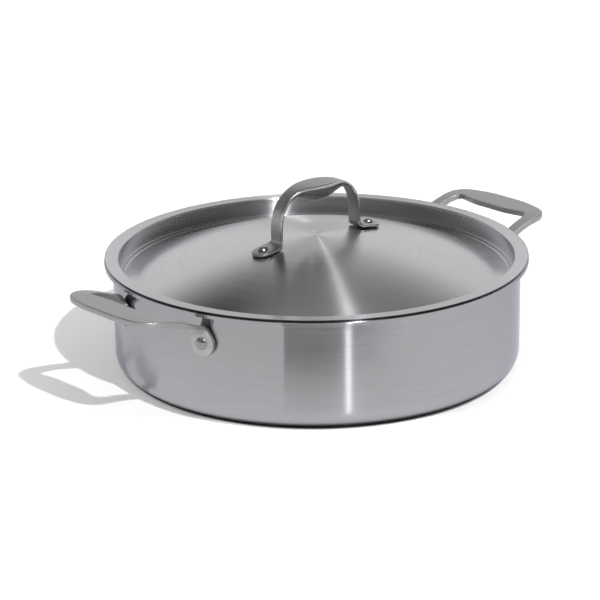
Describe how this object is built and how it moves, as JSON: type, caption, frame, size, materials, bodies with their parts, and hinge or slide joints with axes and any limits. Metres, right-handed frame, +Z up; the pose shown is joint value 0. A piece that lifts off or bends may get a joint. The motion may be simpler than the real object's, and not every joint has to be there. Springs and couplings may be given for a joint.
{
  "type": "rondeau with lid",
  "caption": "Wide, shallow stainless steel pot with straight sides, riveted loop handles at the rim and a recessed domed lid that lifts off by an arched strap handle.",
  "frame": {"origin": "on the floor, at the middle of the flat base", "axes": "+Z up along the axis of the pot; +X through the middle of the right loop handle; +Y away from the front"},
  "size_m": [0.414, 0.32, 0.1435],
  "materials": {
    "clad_wall": "stainless clad sheet, brushed round the wall, satin",
    "lid_sheet": "stainless sheet, brushed in rings round the axis, satin",
    "cast_loop": "cast stainless, tumbled and linished to a satin face with polished edges",
    "lid_strap": "cast stainless, satin face with polished edges",
    "rivet": "stainless, head formed and polished"
  },
  "bodies": {
    "pot": {"pot_shell": "clad_wall", "loop_handle_left": "cast_loop", "loop_handle_right": "cast_loop", "pot_rivet_left_front": "rivet", "pot_rivet_left_back": "rivet", "pot_rivet_right_front": "rivet", "pot_rivet_right_back": "rivet"},
    "lid": {"lid_shell": "lid_sheet", "lid_handle": "lid_strap", "lid_rivet_left": "rivet", "lid_rivet_right": "rivet"}
  },
  "joints": [
    {"name": "lid_lift", "type": "slide", "parent": "pot", "child": "lid", "axis": [0, 0, 1], "range_m": [0, 0.15]}
  ]
}
